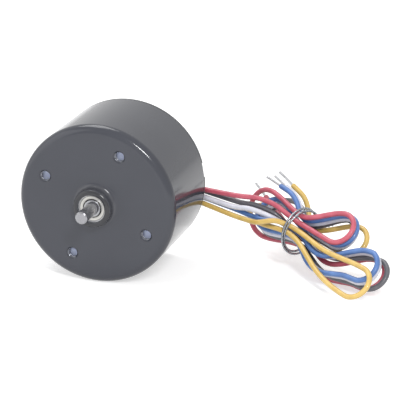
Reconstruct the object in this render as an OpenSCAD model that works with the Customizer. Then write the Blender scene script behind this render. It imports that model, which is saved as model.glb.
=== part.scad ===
// Brushless DC motor with a drawn can, a built-in drive board and five tied leads.
//
// The shaft axis lies along Y, with the shaft towards -Y, and +Z is up.
// The origin is on the shaft axis, in the plane of the mounting face.
// The rigid pieces are drawn on their own axis, from the mounting face at zero to the
// back cover, and laid() turns that axis onto +Y. There, a piece's own Y points down.

/* [Can] */
// Outside diameter of the can
can_d = 42; // [40:0.5:50]
// Length from the mounting face to the back of the cover
body_len = 26.5; // [26:0.5:36]
// Thickness of the drawn side wall
wall_t = 1.2; // [0.8:0.1:1.6]
// Thickness of the mounting face
face_t = 1.5; // [1.2:0.1:2]
// Outside radius of the rim round the mounting face
rim_r = 2.2; // [1.4:0.1:3]

/* [Mounting holes] */
// Number of tapped holes
hole_count = 4; // [3:1:6]
// Diameter of the circle that the holes lie on
hole_circle_d = 30; // [26:0.5:31]
// Diameter of a tapped hole, inside its thread
hole_d = 2.5; // [2:0.1:3]
// Diameter of a hole's mouth
hole_mouth_d = 3.3; // [3:0.1:3.8]
// Depth of the mouth
hole_mouth_t = 0.35; // [0.2:0.05:0.6]
// Turn of the first hole, downwards from the level line
hole_turn = 26; // [0:1:89]

/* [Bearing boss] */
// Height of the boss over the mounting face
boss_h = 3; // [2.4:0.1:4]
// Thickness of the lip that holds the bearing in
lip_t = 0.7; // [0.5:0.05:1]
// Width of the lip over the bearing's outer ring
lip_w = 0.37; // [0.2:0.01:0.5]
// Radius of the lip's edge
lip_r = 0.3; // [0.1:0.05:0.45]
// Diameter of the boss
boss_d = 10; // [9.6:0.1:11]
// Radius of the boss's outer edge
boss_edge_r = 0.8; // [0.3:0.1:0.9]
// Radius where the boss grows out of the mounting face
boss_foot_r = 1.3; // [0.6:0.1:1.6]

/* [Bearings] */
// Bore of a bearing
bearing_bore = 3.175; // [3:0.005:3.2]
// Outside diameter of a bearing
bearing_od = 7.938; // [7.8:0.001:8.2]
// Width of a bearing
bearing_w = 3.571; // [3.4:0.001:4]
// Diameter of a ball
ball_d = 1.588; // [1.4:0.001:1.6]
// Number of balls
ball_count = 7; // [5:1:7]
// Thickness of a ring between its race and its seat
ring_t = 0.66; // [0.6:0.01:0.7]
// Thickness of a shield
shield_t = 0.2; // [0.15:0.01:0.3]
// Thickness of the cage round the balls
cage_t = 0.65; // [0.4:0.01:0.8]

/* [Shaft and rotor] */
// Length of the shaft outside the mounting face
shaft_out = 10.1; // [8:0.1:20]
// Bevel at the shaft's ends
shaft_bevel = 0.25; // [0.1:0.05:0.5]
// Width of the relief groove in front of the bearing
relief_w = 0.6; // [0.55:0.05:0.65]
// Depth of that groove
relief_t = 0.2; // [0.2:0.05:0.4]
// Outside diameter of the ring magnet, as a share of the can's
magnet_share = 0.448; // [0.43:0.002:0.456]
// Thickness of the ring magnet
magnet_t = 2.4; // [2:0.1:3]
// How far the magnet reaches past the stator core at each end
magnet_over = 1; // [0.5:0.1:1.2]
// Number of bored holes that lighten the rotor core
core_hole_count = 6; // [4:1:6]
// Diameter of those holes
core_hole_d = 2.6; // [2:0.1:2.8]
// Outside diameter of the spacers
spacer_d = 4.3; // [4:0.1:4.4]

/* [Stator] */
// Number of teeth
tooth_count = 9; // [6:3:9]
// Distance of the stack of laminations from the mounting face
stack_at = 8.5; // [8:0.1:9]
// Room behind the stack, for the circuit board and the rear bearing
stack_room = 9; // [9:0.1:11]
// Gap between the magnet and the teeth
air_gap = 0.5; // [0.3:0.05:0.8]
// Width of a tooth
tooth_w = 3.2; // [2.6:0.1:3.4]
// Thickness of the ring behind the teeth
yoke_t = 2.6; // [2:0.1:3]
// Thickness of a tooth's tip
tip_t = 1.2; // [0.8:0.1:1.4]
// Opening between two tips
slot_w = 1.4; // [1:0.1:2]
// Thickness of the plastic under the coils
liner_t = 0.3; // [0.2:0.05:0.4]
// Thickness of the end plates of the insulators
end_t = 1; // [0.8:0.1:1.2]
// Build of a coil on a tooth
coil_t = 1.6; // [1:0.1:1.7]
// Thickness of the ring that covers the coils at the front
guard_t = 0.8; // [0.6:0.1:1]
// Gap between that ring and the mounting face
guard_gap = 1.1; // [0.8:0.1:1.5]

/* [Circuit board] */
// Thickness of the board
board_t = 1; // [0.8:0.1:1.2]
// Gap between the coils and the board
board_gap = 0.9; // [0.6:0.1:1]
// Number of position sensors
sensor_count = 3; // [1:1:3]

/* [Back cover] */
// Thickness of the cover
cover_t = 1.8; // [1.5:0.1:2]
// Thickness of the flange that shows behind the can
flange_t = 0.8; // [0.6:0.1:1.2]
// Width of the collar inside the can
collar_t = 1.05; // [0.8:0.05:1.1]
// Wall round the rear bearing
hub_wall = 1.4; // [1:0.1:1.5]
// Number of notches in the flange
notch_count = 3; // [1:1:4]
// Width of a notch
notch_w = 4; // [2:0.5:5]
// Depth of a notch
notch_t = 0.35; // [0.2:0.05:0.6]

/* [Leads] */
// Diameter of a lead over its insulation
lead_d = 1.4; // [1:0.05:1.4]
// Distance between leads in the grommet
lead_pitch = 1.9; // [1.8:0.05:2]
// Diameter of the tinned strands
strand_d = 0.75; // [0.5:0.05:0.9]
// Bare length at a lead's end
strand_len = 5; // [3:0.5:8]
// Diameter of the tie's wire
tie_wire_d = 0.6; // [0.4:0.05:0.6]
// Inside diameter of the tie
tie_d = 11.2; // [11.2:0.1:12]

/* [Hidden] */
$fn = 64;

// One overrun serves every cut, and one small gap every seat.
over = 0.5;
seat_gap = 0.01;

// Can
can_r = can_d / 2;
can_in_r = can_r - wall_t;
can_end = body_len - flange_t;
rim_in_r = rim_r - wall_t + seat_gap;

// Bearings
shaft_r = bearing_bore / 2;
bore_r = shaft_r + seat_gap;
bearing_r = bearing_od / 2;
race_r = (bore_r + bearing_r) / 2;
inner_out_r = bore_r + ring_t;
outer_in_r = bearing_r - ring_t;
ball_gap = 0.03;
shield_in = 0.1;
shield_lap = 0.1;
cage_len = 1.75;
pocket_gap = 0.04;
front_bearing_at = lip_t - boss_h;
seat_r = bearing_r + seat_gap;
boss_r = boss_d / 2;
lip_in_r = bearing_r - lip_w;

// Back cover and rear bearing
cover_at = body_len - cover_t;
hub_r = seat_r + hub_wall;
hub_floor = 2.55;
washer_t = 0.15;
washer_wave = 0.15;
washer_gap = washer_t + 2 * washer_wave + 2 * seat_gap;
rear_bearing_at = body_len - hub_floor - washer_gap - bearing_w;
hub_step = 0.2;
hub_at = rear_bearing_at + hub_step;
flange_edge = 0.25;
notch_turn = -9.5;
cover_fit = 0.02;
collar_r = can_in_r - cover_fit;

// Rotor, round the stack's place
stack_len = body_len - stack_at - stack_room;
magnet_r = can_r * magnet_share;
core_r = magnet_r - magnet_t;
magnet_at = stack_at - magnet_over;
magnet_len = stack_len + 2 * magnet_over;
core_hole_at = (core_r + shaft_r) / 2 + seat_gap;
shaft_end_gap = 0.35;
relief_gap = 0.05;
relief_at = front_bearing_at - relief_gap - relief_w;
shaft_end = body_len - hub_floor - shaft_end_gap;
front_spacer_at = front_bearing_at + bearing_w;

// Stator
stack_out_r = can_in_r - seat_gap;
stack_in_r = magnet_r + air_gap;
yoke_in_r = stack_out_r - yoke_t;
stack_end = stack_at + stack_len;
key_d = 1.2;
key_count = 3;
coil_in_r = stack_in_r + tip_t + liner_t;
coil_out_r = yoke_in_r - liner_t;
coil_end = stack_end + end_t + coil_t;
fence_t = 0.8;
fence_r = yoke_in_r + fence_t;
lip_fence_t = 0.7;
coil_corner = 0.8;
guard_at = face_t + guard_gap;
guard_w = 6.8;
guard_out_r = can_in_r - lip_w;

// Circuit board
board_at = coil_end + board_gap;
board_fit = 0.1;
board_r = can_in_r - 2 * board_fit;
board_hole_r = hub_r + 5 * board_fit;
sensor_turn = 360 / tooth_count;
sensor_w = 4;
sensor_t = 1.5;
sensor_gap = 0.5;
sensor_at = magnet_at + magnet_len + sensor_gap;
sensor_body = 1.7;
sensor_r = magnet_r - magnet_t / 2;
pin_d = 0.4;
pin_pitch = 1.27;
pad_d = 1.8;
pad_t = 0.2;
chip_w = 6;
chip_t = 1.1;
chip_at = [-9.5, -6];
chip_turn = 30;
can_cap_d = 4;
can_cap_t = 2.1;
small_part = [2, 1.25, 0.9];
small_part_r = 10.5;
small_part_count = 7;
small_part_from = 95;
small_part_step = 22;

// Grommet, with the leads in a column of three and a column of two
grommet_at = [14, 5.6];
row_step = round(100 * lead_pitch * sin(60)) / 100;
hole_gap = 0.06;
grommet_wall = 0.8;
grommet_w = row_step + lead_d + 2 * grommet_wall;
grommet_h = 2 * lead_pitch + lead_d + 2 * grommet_wall;
grommet_lip = 0.5;
grommet_lip_t = 0.6;
lead_start = board_at + board_t + pad_t;
lead_exit = body_len + grommet_lip_t;
lead_spots = [
    [row_step / 2, -lead_pitch],
    [-row_step / 2, -lead_pitch / 2],
    [row_step / 2, 0],
    [row_step / 2, lead_pitch],
    [-row_step / 2, lead_pitch / 2]];

// Turns a piece's own axis from +Z onto +Y.
module laid() { rotate([-90, 0, 0]) children(); }

// Ring with its axis on Z.
module ring(r_in, r_out, t) {
    difference() {
        cylinder(r = r_out, h = t);
        translate([0, 0, -over]) cylinder(r = r_in, h = t + 2 * over);
    }
}

// Rectangle with true round corners, centred.
module round_rect(w, h, r) {
    square([w - 2 * r, h], center = true);
    square([w, h - 2 * r], center = true);
    for (x = [-1, 1], y = [-1, 1])
        translate([x * (w / 2 - r), y * (h / 2 - r)]) circle(r);
}

// Slot with full round ends, centred, its length along Y.
module slot(w, h) {
    square([w, h - w], center = true);
    for (y = [-1, 1]) translate([0, y * (h - w) / 2]) circle(d = w);
}

// Can

// Half section of the drawn can, radius along X and the motor's axis along Y.
module can_section() {
    difference() {
        union() {
            translate([0, rim_r]) square([can_r, can_end - rim_r]);
            square([can_r - rim_r, rim_r]);
            translate([can_r - rim_r, rim_r]) circle(rim_r);
            translate([0, -boss_h]) square([boss_r - boss_edge_r, boss_h]);
            translate([0, boss_edge_r - boss_h]) square([boss_r, boss_h - boss_edge_r]);
            translate([boss_r - boss_edge_r, boss_edge_r - boss_h]) circle(boss_edge_r);
            difference() {
                translate([0, -boss_foot_r]) square([boss_r + boss_foot_r, boss_foot_r + over]);
                translate([boss_r + boss_foot_r, -boss_foot_r]) circle(boss_foot_r);
            }
        }
        translate([0, face_t + rim_in_r]) square([can_in_r, can_end]);
        translate([0, face_t]) square([can_in_r - rim_in_r, can_end]);
        translate([can_in_r - rim_in_r, face_t + rim_in_r]) circle(rim_in_r);
        translate([0, front_bearing_at]) square([seat_r, boss_h + face_t]);
        translate([0, -boss_h - over]) square([lip_in_r, boss_h]);
        difference() {
            translate([0, -boss_h - over]) square([lip_in_r + lip_r, over + lip_r]);
            translate([lip_in_r + lip_r, lip_r - boss_h]) circle(lip_r);
        }
    }
}

module can() {
    color("#2b2d31") laid() difference() {
        rotate_extrude() can_section();
        for (i = [0:hole_count - 1]) rotate([0, 0, hole_turn + i * 360 / hole_count])
            translate([hole_circle_d / 2, 0, 0]) {
                translate([0, 0, -over]) cylinder(d = hole_d, h = face_t + 2 * over);
                cylinder(d1 = hole_mouth_d, d2 = hole_d, h = hole_mouth_t);
            }
    }
}

// Back cover, pressed into the can, with the rear bearing's pocket and the leads' window

module cover_section() {
    polygon([
        [0, body_len - hub_floor], [seat_r, body_len - hub_floor], [seat_r, hub_at],
        [hub_r, hub_at], [hub_r, cover_at], [collar_r - collar_t, cover_at],
        [collar_r - collar_t, board_at + board_t], [collar_r, board_at + board_t],
        [collar_r, can_end], [can_r, can_end], [can_r, body_len - flange_edge],
        [can_r - flange_edge, body_len], [0, body_len]]);
}

module back_cover() {
    color("#26272a") laid() difference() {
        rotate_extrude() cover_section();
        translate([grommet_at.x, grommet_at.y, hub_at])
            linear_extrude(body_len) slot(grommet_w, grommet_h);
        for (i = [0:notch_count - 1]) rotate([0, 0, notch_turn + i * 360 / notch_count])
            translate([can_r - notch_t, -notch_w / 2, can_end - over])
                cube([notch_t + over, notch_w, flange_t + 2 * over]);
    }
}

// Rubber grommet with a hole for each lead. Its groove holds the edge of the window.
module grommet() {
    color("#1b1b1d") laid() translate([grommet_at.x, grommet_at.y, 0]) difference() {
        union() {
            translate([0, 0, cover_at - grommet_lip_t])
                linear_extrude(grommet_lip_t - seat_gap)
                    slot(grommet_w + 2 * grommet_lip, grommet_h + 2 * grommet_lip);
            translate([0, 0, cover_at - grommet_lip_t])
                linear_extrude(cover_t + 2 * grommet_lip_t)
                    slot(grommet_w - 2 * seat_gap, grommet_h - 2 * seat_gap);
            translate([0, 0, body_len + seat_gap])
                linear_extrude(grommet_lip_t - seat_gap)
                    slot(grommet_w + 2 * grommet_lip, grommet_h + 2 * grommet_lip);
        }
        for (p = lead_spots) translate([p.x, p.y, cover_at - grommet_lip_t - over])
            cylinder(d = lead_d + 2 * hole_gap, h = cover_t + 2 * grommet_lip_t + 2 * over);
    }
}

// Stator

// Outline of one lamination: a ring with teeth whose tips face the magnet.
module lamination(tooth, r_in, r_out, ring_in) {
    difference() {
        circle(r_out);
        circle(ring_in);
    }
    for (i = [0:tooth_count - 1]) rotate(i * 360 / tooth_count)
        translate([r_in + tip_t / 2, -tooth / 2]) square([ring_in - r_in, tooth]);
    difference() {
        circle(r_in + tip_t);
        circle(r_in);
        for (i = [0:tooth_count - 1]) rotate((i + 1 / 2) * 360 / tooth_count)
            translate([0, -slot_w / 2]) square([r_in + 2 * tip_t, slot_w]);
    }
}

module stator_core() {
    color("#8d9096") laid() translate([0, 0, stack_at]) linear_extrude(stack_len) difference() {
        lamination(tooth_w, stack_in_r, stack_out_r, yoke_in_r);
        for (i = [0:key_count - 1]) rotate((i + 1 / 2) * 360 / key_count)
            translate([stack_out_r, 0]) circle(d = key_d);
    }
}

// End insulator: a plate on the laminations, a fence outside the coils and one at the tips.
// Drawn with its plate on zero and its fences upwards.
module insulator(fence_h) {
    linear_extrude(end_t)
        lamination(tooth_w + liner_t, stack_in_r + liner_t, fence_r, yoke_in_r);
    ring(yoke_in_r, fence_r, end_t + fence_h);
    linear_extrude(end_t + coil_t) difference() {
        circle(stack_in_r + liner_t + lip_fence_t);
        circle(stack_in_r + liner_t);
        for (i = [0:tooth_count - 1]) rotate((i + 1 / 2) * 360 / tooth_count)
            translate([0, -slot_w]) square([stack_in_r + 2 * tip_t, 2 * slot_w]);
    }
}

module front_insulator() {
    color("#dfe6f2") laid() translate([0, 0, stack_at - seat_gap]) mirror([0, 0, 1])
        insulator(stack_at - end_t - guard_at - guard_t - 2 * seat_gap);
}

module rear_insulator() {
    color("#dfe6f2") laid() translate([0, 0, stack_end + seat_gap])
        insulator(board_at - stack_end - end_t - 2 * seat_gap);
}

// One coil per tooth, wound round the tooth and both end plates.
module coils() {
    hole_w = tooth_w + liner_t + 4 * seat_gap;
    hole_h = stack_len + 2 * end_t + 4 * seat_gap;
    color("#b8672e") laid() for (i = [0:tooth_count - 1])
        rotate([0, 0, i * 360 / tooth_count])
            translate([coil_in_r, 0, stack_at + stack_len / 2]) rotate([0, 90, 0])
                linear_extrude(coil_out_r - coil_in_r) difference() {
                    round_rect(hole_h + 2 * coil_t, hole_w + 2 * coil_t, coil_corner);
                    square([hole_h, hole_w], center = true);
                }
}

// Pale ring over the coils, which shows through the tapped holes.
module coil_guard() {
    color("#c9d4ea") laid() translate([0, 0, guard_at])
        ring(guard_out_r - guard_w, guard_out_r, guard_t);
}

// Circuit board with the drive parts

module circuit_board() {
    color("#1f6b3f") laid() translate([0, 0, board_at]) ring(board_hole_r, board_r, board_t);
}

module board_parts() {
    top = board_at + board_t + seat_gap;
    color("#3a3c40") laid() {
        for (p = lead_spots) translate([grommet_at.x + p.x, grommet_at.y + p.y, top])
            cylinder(d = pad_d, h = pad_t - seat_gap);
        translate([chip_at.x, chip_at.y, top]) rotate([0, 0, chip_turn])
            translate([-chip_w / 2, -chip_w / 2, 0]) cube([chip_w, chip_w, chip_t]);
        for (a = [-1, 1]) rotate([0, 0, a * small_part_step - 90])
            translate([small_part_r + can_cap_d / 2, 0, top]) cylinder(d = can_cap_d, h = can_cap_t);
        for (i = [0:small_part_count - 1])
            rotate([0, 0, small_part_from + i * small_part_step])
                translate([small_part_r, 0, top]) translate([-small_part.x / 2, -small_part.y / 2, 0])
                    cube(small_part);
    }
}

// Position sensors under the board, facing the end of the magnet.
module sensors() {
    color("#202124") laid() for (i = [0:sensor_count - 1]) rotate([0, 0, i * sensor_turn])
        translate([sensor_r, 0, sensor_at]) {
            translate([-sensor_t / 2, -sensor_w / 2, 0]) cube([sensor_t, sensor_w, sensor_body]);
            for (k = [-1:1]) translate([0, k * pin_pitch, sensor_body - seat_gap])
                cylinder(d = pin_d, h = board_at - sensor_at - sensor_body);
        }
}

// Bearings, drawn from their front face at zero

module race_cut(gap) {
    translate([race_r, bearing_w / 2]) circle(ball_d / 2 + gap);
}

module outer_ring() {
    rotate_extrude() difference() {
        translate([outer_in_r, 0]) square([ring_t, bearing_w]);
        race_cut(ball_gap);
    }
}

module inner_ring() {
    rotate_extrude() difference() {
        translate([bore_r, 0]) square([ring_t, bearing_w]);
        race_cut(ball_gap);
    }
}

module shields() {
    for (z = [shield_in, bearing_w - shield_in - shield_t]) translate([0, 0, z])
        ring(inner_out_r + shield_lap, outer_in_r - seat_gap, shield_t);
}

module cage() {
    difference() {
        translate([0, 0, (bearing_w - cage_len) / 2])
            ring(race_r - cage_t / 2, race_r + cage_t / 2, cage_len);
        for (i = [0:ball_count - 1]) rotate([0, 0, i * 360 / ball_count])
            translate([race_r - cage_t / 2 - over, 0, bearing_w / 2]) rotate([0, 90, 0])
                cylinder(r = ball_d / 2 + pocket_gap, h = cage_t + 2 * over);
    }
}

module balls() {
    for (i = [0:ball_count - 1]) rotate([0, 0, i * 360 / ball_count])
        translate([race_r, 0, bearing_w / 2]) sphere(ball_d / 2);
}

module in_front() { laid() translate([0, 0, front_bearing_at]) children(); }
module in_rear() { laid() translate([0, 0, rear_bearing_at]) children(); }

module front_outer_ring() { color("#9a9c9f") in_front() outer_ring(); }
module rear_outer_ring() { color("#9a9c9f") in_rear() outer_ring(); }
module front_shields() { color("#d8d4c8") in_front() shields(); }
module rear_shields() { color("#d8d4c8") in_rear() shields(); }
module front_inner_ring() { color("#b5b6b8") in_front() inner_ring(); }
module rear_inner_ring() { color("#b5b6b8") in_rear() inner_ring(); }
module front_cage() { color("#c2a866") in_front() cage(); }
module rear_cage() { color("#c2a866") in_rear() cage(); }
module front_balls() { color("#e4e6e8") in_front() balls(); }
module rear_balls() { color("#e4e6e8") in_rear() balls(); }

// Wave washer between the rear bearing and the floor of its pocket, three waves round.
module wave_washer() {
    steps = 48;
    waves = 3;
    r1 = outer_in_r;
    r2 = bearing_r - 2 * seat_gap;
    mid = rear_bearing_at + bearing_w + washer_gap / 2;
    function rise(i) = washer_wave * sin(waves * 360 * i / steps);
    function rim_point(r, i, z) = [r * cos(360 * i / steps), r * sin(360 * i / steps), z];
    points = [for (i = [0:steps - 1]) each [
        rim_point(r1, i, mid + rise(i) - washer_t / 2),
        rim_point(r2, i, mid + rise(i) - washer_t / 2),
        rim_point(r2, i, mid + rise(i) + washer_t / 2),
        rim_point(r1, i, mid + rise(i) + washer_t / 2)]];
    faces = [for (i = [0:steps - 1], k = [0:3])
        let (a = 4 * i + k, b = 4 * i + (k + 1) % 4,
            c = 4 * ((i + 1) % steps) + (k + 1) % 4, d = 4 * ((i + 1) % steps) + k)
            each [[a, b, c], [a, c, d]]];
    color("#a9acb0") laid() polyhedron(points, faces);
}

// Rotor

module shaft() {
    relief_r = shaft_r - relief_t;
    color("#c8cacc") laid() rotate_extrude() polygon([
        [0, -shaft_out], [shaft_r - shaft_bevel, -shaft_out], [shaft_r, shaft_bevel - shaft_out],
        [shaft_r, relief_at], [relief_r, relief_at], [relief_r, relief_at + relief_w],
        [shaft_r, relief_at + relief_w], [shaft_r, shaft_end - shaft_bevel],
        [shaft_r - shaft_bevel, shaft_end], [0, shaft_end]]);
}

module rotor_core() {
    color("#7f8287") laid() translate([0, 0, magnet_at]) difference() {
        ring(bore_r, core_r - seat_gap, magnet_len);
        for (i = [0:core_hole_count - 1]) rotate([0, 0, i * 360 / core_hole_count])
            translate([core_hole_at, 0, -over]) cylinder(d = core_hole_d, h = magnet_len + 2 * over);
    }
}

module magnet() {
    color("#4a4c50") laid() translate([0, 0, magnet_at]) ring(core_r, magnet_r, magnet_len);
}

module front_spacer() {
    color("#c9a94f") laid() translate([0, 0, front_spacer_at + seat_gap])
        ring(bore_r, spacer_d / 2, magnet_at - front_spacer_at - 2 * seat_gap);
}

module rear_spacer() {
    color("#c9a94f") laid() translate([0, 0, magnet_at + magnet_len + seat_gap])
        ring(bore_r, spacer_d / 2, rear_bearing_at - magnet_at - magnet_len - 2 * seat_gap);
}

// Leads

// The leads leave the grommet, bend towards +X and run to a hank that is tied once.
// The hank's own directions: along it, across its layers, and square to the layers.
tie_at = [47, 27, -11];
hank_heading = -33;
hank_dip = 8;
layer_tilt = 45;
along = [cos(hank_dip) * cos(hank_heading), cos(hank_dip) * sin(hank_heading), -sin(hank_dip)];
side = [-sin(hank_heading), cos(hank_heading), 0];
up = cross(along, side);
across = cos(layer_tilt) * side + sin(layer_tilt) * up;
square_to = cos(layer_tilt) * up - sin(layer_tilt) * side;
function in_hank(u, p) = tie_at + u * along + p.x * across + p.y * square_to;

// The leads lie in layers in the tie, and each runs through it four times: in from the
// motor, back from one loop, out to another one and away to its end.
layer_pitch = 1.75;
run_pitch = 1.9;
near_low = -run_pitch / 2;
far_low = near_low - run_pitch;
near_high = run_pitch / 2;
far_high = near_high + run_pitch;
layer_count = 5;
function layer(k) = ((layer_count + 1) / 2 - k) * layer_pitch;

// One loop of a hank, drawn in to its two runs at the waist: a run out, a half round
// fold and a run back. A negative reach lies on the motor's side. The fold goes from
// one side of its middle to the other, and dips bend the two runs aside.
function smooth(t) = t * t * (3 - 2 * t);
run_rings = 8;
function loop(reach, from, to, middle, fold, dips) = let (
    way = sign(reach), r = norm(fold), run = abs(reach) - r)
    concat(
        [for (i = [1:run_rings]) let (t = i / run_rings)
            in_hank(way * run * t, from + (middle + fold - from) * smooth(t)
                + [dips[0] * sin(180 * t) ^ 2, 0])],
        [for (i = [1:run_rings]) let (a = 180 * i / run_rings)
            in_hank(way * (run + r * sin(a)), middle + fold * cos(a))],
        [for (i = [1:run_rings]) let (t = 1 - i / run_rings)
            in_hank(way * run * t, to + (middle - fold - to) * smooth(t)
                + [dips[1] * sin(180 * t) ^ 2, 0])]);

// Smooth curve through a list of points, with the given number of steps between two.
function curve_point(a, b, c, d, t) = (2 * b + (c - a) * t + (2 * a - 5 * b + 4 * c - d) * t ^ 2
    + (3 * b - a - 3 * c + d) * t ^ 3) / 2;
function curve(pts, n) = [
    for (i = [1:len(pts) - 3], k = [0:n - 1])
        curve_point(pts[i - 1], pts[i], pts[i + 1], pts[i + 2], k / n),
    pts[len(pts) - 2]];

// Loops of each lead in their order. A loop is [reach, from, to, middle, fold, dips].
fold_r = 4.2;
red_loops = [
    [16.5, [near_high, layer(1)], [far_high, layer(1)], [5, layer(1)], [-fold_r, 0], [0, 0]],
    [-19.5, [far_high, layer(1)], [far_low, layer(5)], [-0.6, 0], [5.2, 3.5], [0, 0]],
    [28, [far_low, layer(5)], [near_low, layer(5)], [0, layer(5)], [-fold_r, 0], [-3, -4.4]]];
black_loops = [
    [30, [near_low, layer(4)], [far_low, layer(4)], [0, layer(4)], [fold_r, 0], [-3, -2.5]],
    [-14.5, [far_low, layer(4)], [near_high, layer(4)], [-0.5, layer(4)], [-4.3, 0], [0, 0]],
    [14, [near_high, layer(4)], [far_high, layer(4)], [5, layer(4)], [-fold_r, 0], [0, 0]]];
white_loops = [
    [28, [near_low, layer(3)], [far_low, layer(3)], [0, layer(3)], [fold_r, 0], [-4, -3]],
    [-14, [far_low, layer(3)], [near_high, layer(3)], [-0.5, layer(3)], [-4.3, 0], [0, 0]],
    [15.5, [near_high, layer(3)], [far_high, layer(3)], [5, layer(3)], [-fold_r, 0], [0, 0]]];
yellow_loops = [
    [31, [near_low, layer(1)], [far_low, layer(1)], [-5, layer(1)], [fold_r, 0], [-1, -1]],
    [-17.5, [far_low, layer(1)], [near_high, layer(5)], [-0.3, 0], [-4.2, 3.5], [0, 0]],
    [17, [near_high, layer(5)], [far_high, layer(5)], [5.2, layer(5)], [-fold_r, 0], [0, 0]]];
blue_loops = [
    [28.5, [near_low, layer(2)], [far_low, layer(2)], [0, layer(2)], [fold_r, 0], [-4.6, -3.6]],
    [-14.5, [far_low, layer(2)], [near_high, layer(2)], [-0.3, layer(2)], [-4.4, 0], [0, 0]],
    [16.5, [near_high, layer(2)], [far_high, layer(2)], [5.2, layer(2)], [-fold_r, 0], [0, 0]]];

// Places on the leads' ways to the tie and to their ends: [along, across, up].
red_in = [[-17.5, -2.4, 9.2], [-12.5, 0.4, 7.1], [-8, 1.4, 5.6], [-4, 1.2, 4.4]];
black_in = [[-17.5, -3.2, 7.2], [-12.5, -1.2, 5.8], [-8, -0.2, 3.1], [-4, -0.7, -0.1]];
white_in = [[-17.5, -5.2, 8], [-12.5, -3.2, 7.2], [-8, -1.8, 4.7], [-4, -1.1, 2]];
yellow_in = [[-17.5, -7.1, 6.8], [-12.5, -6.2, 6.5], [-8, -5.2, 6.8], [-4, -2.2, 5.9]];
blue_in = [[-17.5, -5, 5.9], [-12.5, -4.3, 5.3], [-8, -3.6, 5.5], [-4, -1.4, 4]];
red_end = [[-2.5, -0.9, -3.9], [-8, 0, -6], [-15, 2, -6.8], [-22, 4.3, -5.4]];
black_end = [[-2.5, 3.5, -1.75], [-7, 6, -2.4], [-13, 6.6, -4.6], [-19, 5, -6.4]];
white_end = [[-2.5, 3.5, 0], [-5.5, 5.6, 0], [-9, 7.4, 0.2], [-13, 8.2, 0.6]];
yellow_end = [[-2.5, 3.6, -3.6], [-5.5, 6.3, -4.2], [-9, 8.9, -3.2], [-13, 9.8, -1]];
blue_end = [[-2.5, 3.5, 1.75], [-5.5, 5.6, 1.75], [-9, 7, 2], [-13, 7.2, 2.6]];

bend_r = 3;
back_row_shift = 2.6;
bend_steps = 4;
function spot_at(i) = [grommet_at.x + lead_spots[i].x, -grommet_at.y - lead_spots[i].y];
function start_bend(i) = let (s = spot_at(i), y = lead_exit + lead_d
    + (lead_spots[i].x > 0 ? 0 : back_row_shift)) [
    [s.x, lead_start, s.y], [s.x, lead_exit, s.y],
    for (k = [0:bend_steps]) let (a = 90 * k / bend_steps)
        [s.x + bend_r * (1 - cos(a)), y + bend_r * sin(a), s.y]];
way_steps = 3;
function place(p) = in_hank(p[0], [p[1], p[2]]);
function lead_path(i, way, loops, end) = let (
    begin = start_bend(i), steps = len(begin), first = loops[0][1], last = loops[2][2],
    way_in = curve(concat([begin[steps - 2], begin[steps - 1]], [for (p = way) place(p)],
        [in_hank(0, first), in_hank(bend_r, first)]), way_steps),
    way_out = curve(concat([in_hank(bend_r, last), in_hank(0, last)], [for (p = end) place(p)],
        [2 * place(end[3]) - place(end[2])]), way_steps))
    concat([for (j = [0:steps - 2]) begin[j]], way_in,
        [for (l = loops) each loop(l[0], l[1], l[2], l[3], l[4], l[5])],
        [for (j = [1:len(way_out) - 1]) way_out[j]]);

red_path = lead_path(0, red_in, red_loops, red_end);
black_path = lead_path(1, black_in, black_loops, black_end);
white_path = lead_path(2, white_in, white_loops, white_end);
yellow_path = lead_path(3, yellow_in, yellow_loops, yellow_end);
blue_path = lead_path(4, blue_in, blue_loops, blue_end);

// Length of a lead, and the least gap that it leaves to itself. Rings of the tube that
// follow each other closely aren't compared.
function path_length(p) = let (steps = [for (i = [1:len(p) - 1]) norm(p[i] - p[i - 1])])
    steps * [for (s = steps) 1];
close_rings = 6;
function least_gap(p) = min([for (i = [0:len(p) - close_rings - 1], j = [i + close_rings:len(p) - 1])
    norm(p[i] - p[j])]) - lead_d;
echo(lengths = [for (p = [red_path, black_path, white_path, yellow_path, blue_path]) path_length(p)]);
echo(gaps = [for (p = [red_path, black_path, white_path, yellow_path, blue_path]) least_gap(p)]);

// Tube swept along a path, with a frame that turns as little as it can.
tube_sides = 6;
function unit(v) = v / norm(v);
function heading(p, i) = unit(p[min(i + 1, len(p) - 1)] - p[max(i - 1, 0)]);
function frames(p) = [for (i = 0, n = unit(cross(heading(p, 0), [1, 2, 3])); i < len(p);
    i = i + 1, n = i < len(p) ? unit(n - (n * heading(p, i)) * heading(p, i)) : n) n];
module tube(p, d) {
    n = frames(p);
    points = [for (i = [0:len(p) - 1]) let (t = heading(p, i), b = cross(t, n[i]))
        for (k = [0:tube_sides - 1]) let (a = 360 * k / tube_sides)
            p[i] + d / 2 * (cos(a) * n[i] + sin(a) * b)];
    last = tube_sides * (len(p) - 1);
    faces = concat(
        [for (i = [0:len(p) - 2], k = [0:tube_sides - 1])
            let (a = i * tube_sides + k, b = i * tube_sides + (k + 1) % tube_sides)
                each [[a, a + tube_sides, b + tube_sides], [a, b + tube_sides, b]]],
        [for (k = [1:tube_sides - 2]) [0, k, k + 1]],
        [for (k = [1:tube_sides - 2]) [last, last + k + 1, last + k]]);
    polyhedron(points, faces);
}

module lead_red() { color("#b3202c") tube(red_path, lead_d); }
module lead_black() { color("#1e1f22") tube(black_path, lead_d); }
module lead_white() { color("#e9e9f0") tube(white_path, lead_d); }
module lead_yellow() { color("#e0b132") tube(yellow_path, lead_d); }
module lead_blue() { color("#2a5fae") tube(blue_path, lead_d); }

// Bare strands at the leads' ends, and the wire tie

module tinned_ends() {
    color("#c9ccd0") for (p = [red_path, black_path, white_path, yellow_path, blue_path])
        let (e = p[len(p) - 1], t = heading(p, len(p) - 1))
            translate(e + seat_gap * t) rotate([0, acos(t.z), atan2(t.y, t.x)])
                cylinder(d = strand_d, h = strand_len);
}

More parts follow.
